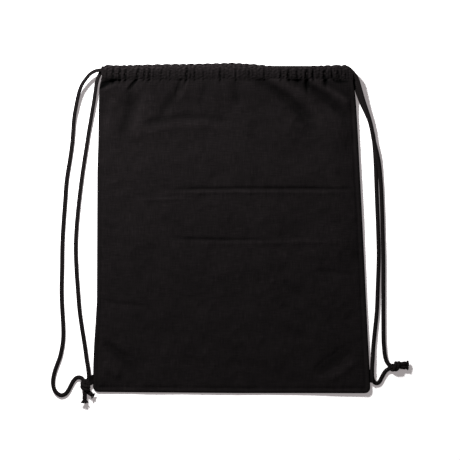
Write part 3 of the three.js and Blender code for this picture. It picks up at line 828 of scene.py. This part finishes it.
def seam_lift(x, y):
    """How far the sewn edge curls up from below: most at the right side and the bottom right corner."""
    right_side = smoothstep((x - 100) / 70) * (1.1 + 1.4 * smoothstep((y + 90) / 150))
    right_corner = 1.1 * np.exp(-((x - 190) ** 2 + (y + 225) ** 2) / 70 ** 2)
    left_shoulder = 1.2 * np.exp(-((x + 185) ** 2 + (y - 190) ** 2) / 45 ** 2)
    return right_side + right_corner + left_shoulder


def bottom_slope(x, y):
    """The bottom seam runs a little lower towards the right."""
    return 1.5 * np.clip((x + 190) / 200, 0, 1) * smoothstep((-100 - y) / 120)


# Sewn edge: how far in it rolls over, the height of its middle, and the least thickness above that
EDGE_ROLL = 1.3
SEAM_MIDDLE = 1.75
SEAM_HALF = 0.7
# Front panel: how high it rises towards the mouth and over what length, and how flat it is across
PANEL_RISE = 8.6
PANEL_RUN = 300
PANEL_FLATNESS = 5
# The lengths below the stitching over which the front and the back panel meet their casings
FRONT_MEETS_CASING = 48
BACK_MEETS_CASING = 14


def front_height(x, y):
    """Outer surface of the front panel, up to the stitching."""
    distance = edge_distance(x, y)
    side = side_distance(x, y)
    half = (edge_at(RIGHT_EDGE, y) - edge_at(LEFT_EDGE, y)) / 2
    share = np.clip(1 - side / half, 0, 1)
    rise = PANEL_RISE * smoothstep((y - BOTTOM_Y) / PANEL_RUN)
    lift = seam_lift(x, y)
    relief = panel_relief(x, y)
    calm = smoothstep((distance - 1) / 14)
    open_panel = EDGE_Z + lift + rise * (1 - share ** PANEL_FLATNESS) + relief * (0.22 + 0.78 * calm)
    open_panel = open_panel + seam_relief(distance)
    near_stitch = smoothstep((y - STITCH_Y + FRONT_MEETS_CASING) / FRONT_MEETS_CASING)
    stitched = front_lift(x) + CASING_DEPTH / 2 - 1.5 + 0.6 * relief
    z = open_panel * (1 - near_stitch) + stitched * near_stitch + gather_relief(x, y) * smoothstep(side / 5)
    # round the sewn edge down to the middle of the seam
    roll = np.sqrt(1 - (1 - np.clip(distance / EDGE_ROLL, 0, 1)) ** 2)
    middle = SEAM_MIDDLE + lift
    return middle + (np.maximum(z, middle + SEAM_HALF) - middle) * roll


# Places of the first rows and columns of the cloth's grid, in millimetres in from a sewn edge
COLUMNS_NEAR_EDGE = [0, 0.15, 0.4, 0.8, 1.3, 1.9, 2.6, 3.4, 4.3]
ROWS_NEAR_EDGE = [0, 0.12, 0.35, 0.7, 1.2, 1.9, 2.7, 3.6, 4.6, 5.8, 7.1, 8.5]


def spaced_columns():
    """Shares across the bag, crowded near both sewn edges."""
    width = 370.0
    left = np.concatenate([COLUMNS_NEAR_EDGE, np.linspace(5.3, width / 2, 200)]) / width
    return np.concatenate([left, (1 - left[:-1])[::-1]])


def spaced_rows():
    """Heights up the bag, crowded near the bottom seam."""
    above = np.linspace(BOTTOM_Y + 10, STITCH_Y - 1.0, 280)
    return np.concatenate([np.array(ROWS_NEAR_EDGE) + BOTTOM_Y, above])


def panel_rows(heights, columns, surface):
    """Rows of points over a panel, at the heights of a surface given as a function of x and y."""
    rows = []
    for height in heights:
        y = np.full_like(columns, height)
        left = edge_at(LEFT_EDGE, y) + corner_inset(y)
        right = edge_at(RIGHT_EDGE, y) - corner_inset(y)
        x = left + (right - left) * columns
        rows.append(np.stack([x, y - bottom_slope(x, y), surface(x, y)], -1))
    return rows


# The gathered mouth edge against the casing's nominal top: x and how far above it
TOP_EDGE = [
    (-180, -4.8), (-176, -2.6), (-170, -1.4), (-155, -2.1), (-130, -1.5), (-90, -0.6), (-57, -0.3),
    (-22, 0.4), (2, 1.1), (30, -0.7), (50, -2.7), (72, -4.1), (97, -3.9), (119, -2.7), (140, -1.7),
    (157, -1.4), (163, -3.6), (168, -6),
]
# Where the mouth edge dips between two puckers, and how deep
PUCKERS = [
    -176, -163, -150.6, -143, -134.8, -122, -108, -95, -82, -71, -61.5, -50, -39, -27, -15.5, -5, 6, 16, 25,
    37, 48, 58, 67.5, 78, 84, 92.7, 105.9, 119, 126, 136.5, 150.6, 161,
]
PUCKER_DEPTH = 1.3


def pucker(x):
    """0 at the top of each pucker of the mouth edge, down to -1 at the dips between them."""
    index = np.clip(np.searchsorted(PUCKERS, x) - 1, 0, len(PUCKERS) - 2)
    start, end = np.array(PUCKERS)[index], np.array(PUCKERS)[index + 1]
    return np.sin(math.pi * np.clip((x - start) / (end - start), 0, 1)) ** 0.8 - 1


def casing_points(columns, lift, facing, shift, loft):
    """The casing's loop for each column: up its outer face, over the mouth fold and down its inner face.
    facing is 1 for the front casing, whose outer face is up, and -1 for the back one. shift moves the gathers
    along, so that the two casings differ, and loft is how full the casing is."""
    height = TOP_Y - STITCH_Y
    up = np.concatenate([np.linspace(0, 0.8, 18), 0.8 + 0.2 * np.sin(np.linspace(0.22, math.pi / 2, 7))])
    down = np.concatenate([up[::-1][1:-1], [0.02]])
    places, lifts = zip(*TOP_EDGE)
    rows = []
    for share_up, face in [(t, 1) for t in up] + [(t, -1) for t in down]:
        y = np.full_like(columns, STITCH_Y + height * share_up)
        left = edge_at(LEFT_EDGE, y)
        right = edge_at(RIGHT_EDGE, y)
        x = left + (right - left) * columns
        sewn = math.exp(-(share_up / 0.09) ** 2)
        full = math.sin(math.pi / 2 * min(1.0, share_up / 0.5)) * 0.4 + 0.6
        fold_round = math.sqrt(max(0.0, 1 - share_up ** 4.5))
        depth = loft * CASING_DEPTH / 2 * (full - 0.12 * sewn) * max(fold_round, 0.02)
        gathered = gather_relief(x + shift, y) * (1 - 0.6 * sewn)
        relief = (gathered + 0.32 * CASING_CRINKLE(x + shift, y)) * max(fold_round, 0.3)
        ends = smoothstep(np.minimum(columns, 1 - columns) / 0.02)
        inner = 1 if face > 0 else 0.35
        relief = np.maximum(relief * inner, min(depth, CORD_HALF_THICKNESS + 0.5) - depth)
        z = lift(x) + facing * face * (depth + relief * (0.4 + 0.6 * ends))
        y = y + share_up ** 2 * (np.interp(x, places, lifts) + PUCKER_DEPTH * pucker(x + shift))
        rows.append(np.stack([x, y, z], -1))
    return rows


def cloth_object(name, rows, material, flat_uv, columns=slice(None), creases=None):
    """A closed sheet of cloth from rows of surface points, CLOTH thick, over the columns asked for. Its last
    argument holds the shade painted into each point's colour.
    """
    surface = np.stack(rows)
    normal = np.cross(np.gradient(surface, axis=1), np.gradient(surface, axis=0))
    normal /= np.linalg.norm(normal, axis=2)[..., None] + 1e-9
    inner = surface - normal * CLOTH
    if creases is None:
        creases = np.zeros(surface.shape[:2])
    surface, inner, normal, flat_uv, creases = (
        part[:, columns] for part in (surface, inner, normal, flat_uv, creases)
    )
    count, across = surface.shape[:2]
    outer_faces = grid_faces(count, across)
    size = count * across
    inner_faces = outer_faces[:, ::-1] + size
    at = np.arange(size).reshape(count, across)
    rim = np.concatenate([at[0], at[1:, -1], at[-1, -2::-1], at[-2:0:-1, 0]])
    following = np.roll(rim, -1)
    rim_faces = np.stack([following, rim, rim + size, following + size], -1)
    faces = np.concatenate([outer_faces, inner_faces, rim_faces])
    points = np.concatenate([surface.reshape(-1, 3), inner.reshape(-1, 3)])
    uvs = np.concatenate([flat_uv.reshape(-1, 2)] * 2)
    sheet = make_mesh(name, points, faces, uvs, material, painted_shade=np.concatenate([creases.ravel()] * 2))
    outward = normal.reshape(-1, 3)
    sheet.data.normals_split_custom_set_from_vertices(np.concatenate([outward, -outward]).tolist())
    return sheet


def flat_coordinates(rows):
    """UVs in metres: across the cloth as it lies, and along its own length, round the folds."""
    surface = np.stack(rows)
    middle = surface[:, surface.shape[1] // 2, 1:]
    run = np.concatenate([[0], np.cumsum(np.linalg.norm(np.diff(middle, axis=0), axis=1))])
    return np.stack([surface[..., 0], np.broadcast_to(run[:, None], surface.shape[:2])], -1) * MM


# Where the front's two halves meet
SPLIT_X = 0.0


def add_front(cloth):
    """The front panel and its casing, in a left and a right half that meet along the middle column."""
    columns = spaced_columns()
    rows = panel_rows(spaced_rows(), columns, front_height)
    rows += casing_points(columns, front_lift, 1, 0, 1.25)
    # the shade painted into the cloth's colour at each point of the front
    creases = np.array([painted_crease_shade(row[:, 0], row[:, 1]) for row in rows])
    uvs = flat_coordinates(rows)
    middle = len(columns) // 2
    for side, part, edge, node in (
        ("left", slice(0, middle + 1), LEFT_EDGE, "front_panel"),
        ("right", slice(middle, None), RIGHT_EDGE, "front_casing"),
    ):
        half = cloth_object(f"front_cloth_{side}", rows, cloth, uvs, part, creases)
        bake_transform(half)
        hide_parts(node)


# The inner surface of the back panel lies this high, with its cloth just clear of the floor
BACK_Z = 0.6


def back_height(x, y):
    """Inner surface of the back panel: flat on the floor, turned up a little at the sewn edges."""
    distance = edge_distance(x, y)
    curl = seam_lift(x, y) * np.exp(-(distance / 22) ** 2)
    roll = 1 - np.sqrt(1 - (1 - np.clip(distance / EDGE_ROLL, 0, 1)) ** 2)
    near_stitch = smoothstep((y - STITCH_Y + BACK_MEETS_CASING) / BACK_MEETS_CASING)
    return BACK_Z + curl + (SEAM_MIDDLE - BACK_Z) * roll + near_stitch * 0.2


def back_lift(x):
    """Middle height of the back casing."""
    return np.full_like(x, CASING_DEPTH / 2 + 0.3)


def add_back(cloth):
    """The back panel and its casing, on a coarser grid than the front's."""
    columns = spaced_columns()[::2]
    heights = spaced_rows()
    near = len(ROWS_NEAR_EDGE)
    rows = panel_rows(np.concatenate([heights[:near], heights[near::4]]), columns, back_height)
    rows += casing_points(columns, back_lift, -1, 37, 1)
    for row in rows:
        row[:, 2] = np.maximum(row[:, 2], BACK_Z)
    back = cloth_object("back_cloth", rows, cloth, flat_coordinates(rows))
    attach(back, "bag")
    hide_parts("back_panel", "back_casing", "left_seam", "right_seam", "bottom_seam")


# Corner tabs: side, middle of the cord hole, the ribbon's lower and upper edge at the seam, and its slant
TABS = (("left_tab", -1, 195.8, -212.5, -199.0, -0.5), ("right_tab", 1, 193.1, -211.5, -194.0, -0.15))
TAB_LOOP_RADIUS = 3.0
TAB_LOOP_END = math.radians(115)
TAB_ROWS = 24


def tab_section(seam_x, hole_x, radius):
    """Across a tab's ribbon: out of the seam, round the cord and back into the seam, as points of x and z."""
    angles = np.linspace(TAB_LOOP_END, -TAB_LOOP_END, 22)
    upper = [(seam_x, 2.2), (seam_x + 2.2, 2.5), (seam_x + 3.6, 3.4)]
    loop = [(hole_x + radius * math.cos(a), TAB_HOLE_Z + radius * math.sin(a)) for a in angles]
    lower = [(seam_x + 3.6, 1.0), (seam_x + 2.2, 1.2), (seam_x, 1.5)]
    return np.array([*upper, *loop, *lower]).T


def add_tabs(cloth):
    """Corner tabs: a ribbon folded round the cord, both ends in the side seam."""
    for name, side, hole_x, low, high, slope in TABS:
        seam_x = abs(edge_at(RIGHT_EDGE if side > 0 else LEFT_EDGE, low)) - 4
        rows, creases = [], []
        for y in np.linspace(low, high, TAB_ROWS):
            pinch = 1 - 0.1 * math.sin(math.pi * (y - low) / (high - low))
            x, z = tab_section(seam_x, hole_x, TAB_LOOP_RADIUS * pinch)
            wave = 0.15 * np.sin(x * 1.3 + y * 0.9)
            rows.append(np.stack([side * x, y + slope * (x - seam_x), z + wave], -1))
            # painted shade over the whole ribbon, and a painted highlight along the middle of its turn round
            # the cord
            creases.append(0.35 - 0.9 * np.exp(-((x - hole_x + 0.12 * (y - low - 8)) / 0.8) ** 2))
        if side < 0:
            rows = rows[::-1]
        along_ribbon = flat_coordinates([row[:, [1, 0, 2]] for row in rows])
        tab = cloth_object(f"{name}_ribbon", rows, cloth, along_ribbon, creases=np.array(creases))
        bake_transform(tab)
        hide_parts(name)


# Topstitching: spacing, length and thickness of a stitch, how far its ends dip, and the row's two ends
STITCH_PITCH = 3.3
STITCH_LENGTH = 2.5
THREAD_RADIUS = 0.26
STITCH_DIP = 0.25
STITCHES_FROM, STITCHES_TO = -176, 165


def stitch_row(name, places, material):
    """A line of sewn stitches along X: small raised thread dashes, each centred on one of the places."""
    points, faces, uvs = [], [], []
    sides = 6
    sections = ((-0.5, 0.1), (-0.35, 0.9), (0, 1), (0.35, 0.9), (0.5, 0.1))
    for x, y, z in places:
        base = len(points)
        for share, reach in sections:
            for i in range(sides):
                angle = math.tau * i / sides
                offset = THREAD_RADIUS * reach
                along = share * STITCH_LENGTH
                height = z + offset * math.sin(angle) - STITCH_DIP * abs(share * 2) ** 3
                points.append((x + along, y + offset * math.cos(angle), height))
                uvs.append((i / sides * 0.001, along * MM))
        faces += [list(face + base) for face in grid_faces(len(sections), sides, wrap=True)]
    return make_mesh(name, points, faces, uvs, material)


def add_stitching(thread):
    """Topstitching along the bottom of the front casing."""
    x = np.arange(STITCHES_FROM, STITCHES_TO, STITCH_PITCH)
    z = front_lift(x) + 0.25 * gather_relief(x, np.full_like(x, STITCH_Y)) + 0.35
    places = np.stack([x, np.full_like(x, STITCH_Y + 0.6), z], -1)
    for suffix, chosen, edge in (
        ("left", places[x < SPLIT_X], LEFT_EDGE),
        ("right", places[x >= SPLIT_X], RIGHT_EDGE),
    ):
        row = stitch_row(f"casing_stitches_{suffix}", chosen, thread)
        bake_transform(row)


add_camera()
CORD_MATERIAL = cord_material("braided_cotton", (0.0007, 0.0004, 0.0004), (0.0040, 0.0025, 0.0026))
add_cords(CORD_MATERIAL)
add_casing_runs(CORD_MATERIAL)
CLOTH_MATERIAL = cloth_material("black_cotton", (0.0025, 0.0020, 0.0021), (0.0047, 0.0038, 0.0040))
THREAD_MATERIAL = cloth_material("black_thread", (0.0018, 0.0015, 0.0016), (0.0046, 0.0038, 0.0040))
add_front(CLOTH_MATERIAL)
add_back(CLOTH_MATERIAL)
add_tabs(CLOTH_MATERIAL)
add_stitching(THREAD_MATERIAL)
add_studio()
